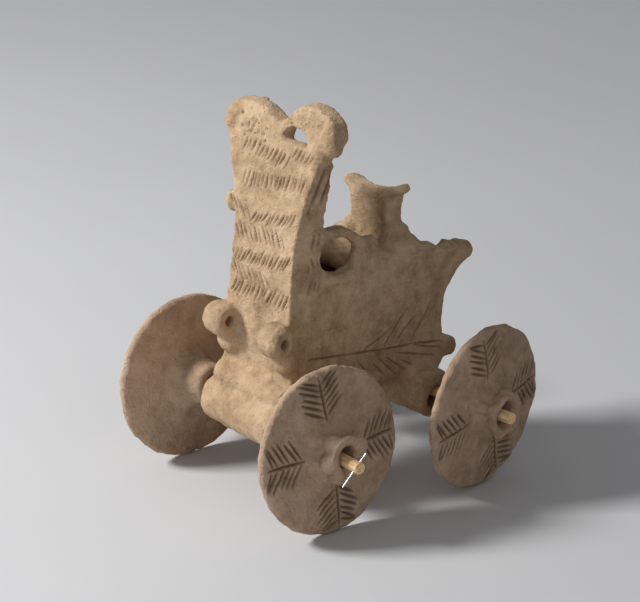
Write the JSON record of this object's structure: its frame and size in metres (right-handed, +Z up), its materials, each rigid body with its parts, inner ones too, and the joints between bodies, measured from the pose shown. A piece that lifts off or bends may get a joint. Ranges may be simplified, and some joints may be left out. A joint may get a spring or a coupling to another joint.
{
  "type": "chariot model",
  "caption": "Fired-clay model of a chariot with disc wheels: high shield with rein loops, hollow box, seat back, wheels turning on wooden dowels.",
  "frame": {"origin": "on the standing surface, under the middle of the whole model", "axes": "+Z up, -Y the way the chariot faces, +X the chariot's left side"},
  "size_m": [0.1566, 0.1586, 0.1778],
  "materials": {
    "shield_clay": "fired clay, pale pinkish tan, matt and gritty, with incised strokes",
    "body_clay": "fired clay, tan, matt, smoothed by hand, pitted",
    "wheel_clay": "fired clay, brownish tan, matt, with incised strokes",
    "dowel_wood": "pale untreated dowel with fine grain",
    "pin_wire": "bright thin wire"
  },
  "bodies": {
    "chariot_body": {"floor_slab": "body_clay", "front_shield": "shield_clay", "side_wall_left": "body_clay", "side_wall_right": "body_clay", "rear_wall": "body_clay", "rear_step": "body_clay", "seat_deck": "body_clay", "seat_back": "body_clay", "rein_loop_left": "shield_clay", "yoke_lug_left": "shield_clay", "rear_horn_left": "body_clay", "rein_loop_right": "shield_clay", "yoke_lug_right": "shield_clay", "rear_horn_right": "body_clay", "front_axle_tube": "body_clay", "rear_axle_tube": "body_clay"},
    "front_axle": {"front_axle_dowel": "dowel_wood", "linchpin_wire": "pin_wire"},
    "rear_axle": {"rear_axle_dowel": "dowel_wood"},
    "front_left_wheel": {"front_left_wheel_disc": "wheel_clay", "front_left_wheel_nave": "wheel_clay"},
    "front_right_wheel": {"front_right_wheel_disc": "wheel_clay", "front_right_wheel_nave": "wheel_clay"},
    "rear_left_wheel": {"rear_left_wheel_disc": "wheel_clay", "rear_left_wheel_nave": "wheel_clay"},
    "rear_right_wheel": {"rear_right_wheel_disc": "wheel_clay", "rear_right_wheel_nave": "wheel_clay"}
  },
  "joints": [
    {"name": "front_axle_turn", "type": "hinge", "parent": "chariot_body", "child": "front_axle", "pos_m": [0.00038, -0.03775, 0.037], "axis": [0.9971, -0.0767, 0], "continuous": true},
    {"name": "rear_axle_turn", "type": "hinge", "parent": "chariot_body", "child": "rear_axle", "pos_m": [0.00038, 0.03675, 0.037], "axis": [0.9969, 0.0785, 0], "continuous": true},
    {"name": "front_left_wheel_spin", "type": "hinge", "parent": "chariot_body", "child": "front_left_wheel", "pos_m": [0.05398, -0.04176, 0.03743], "axis": [0.998, -0.007, 0.0628], "continuous": true},
    {"name": "front_right_wheel_spin", "type": "hinge", "parent": "chariot_body", "child": "front_right_wheel", "pos_m": [-0.05323, -0.03334, 0.03747], "axis": [0.999, -0.0105, 0.0436], "continuous": true},
    {"name": "rear_left_wheel_spin", "type": "hinge", "parent": "chariot_body", "child": "rear_left_wheel", "pos_m": [0.05998, 0.04242, 0.03744], "axis": [0.9808, 0.1871, -0.0558], "continuous": true},
    {"name": "rear_right_wheel_spin", "type": "hinge", "parent": "chariot_body", "child": "rear_right_wheel", "pos_m": [-0.06413, 0.03412, 0.03749], "axis": [0.9973, 0.0697, 0.0209], "continuous": true}
  ]
}
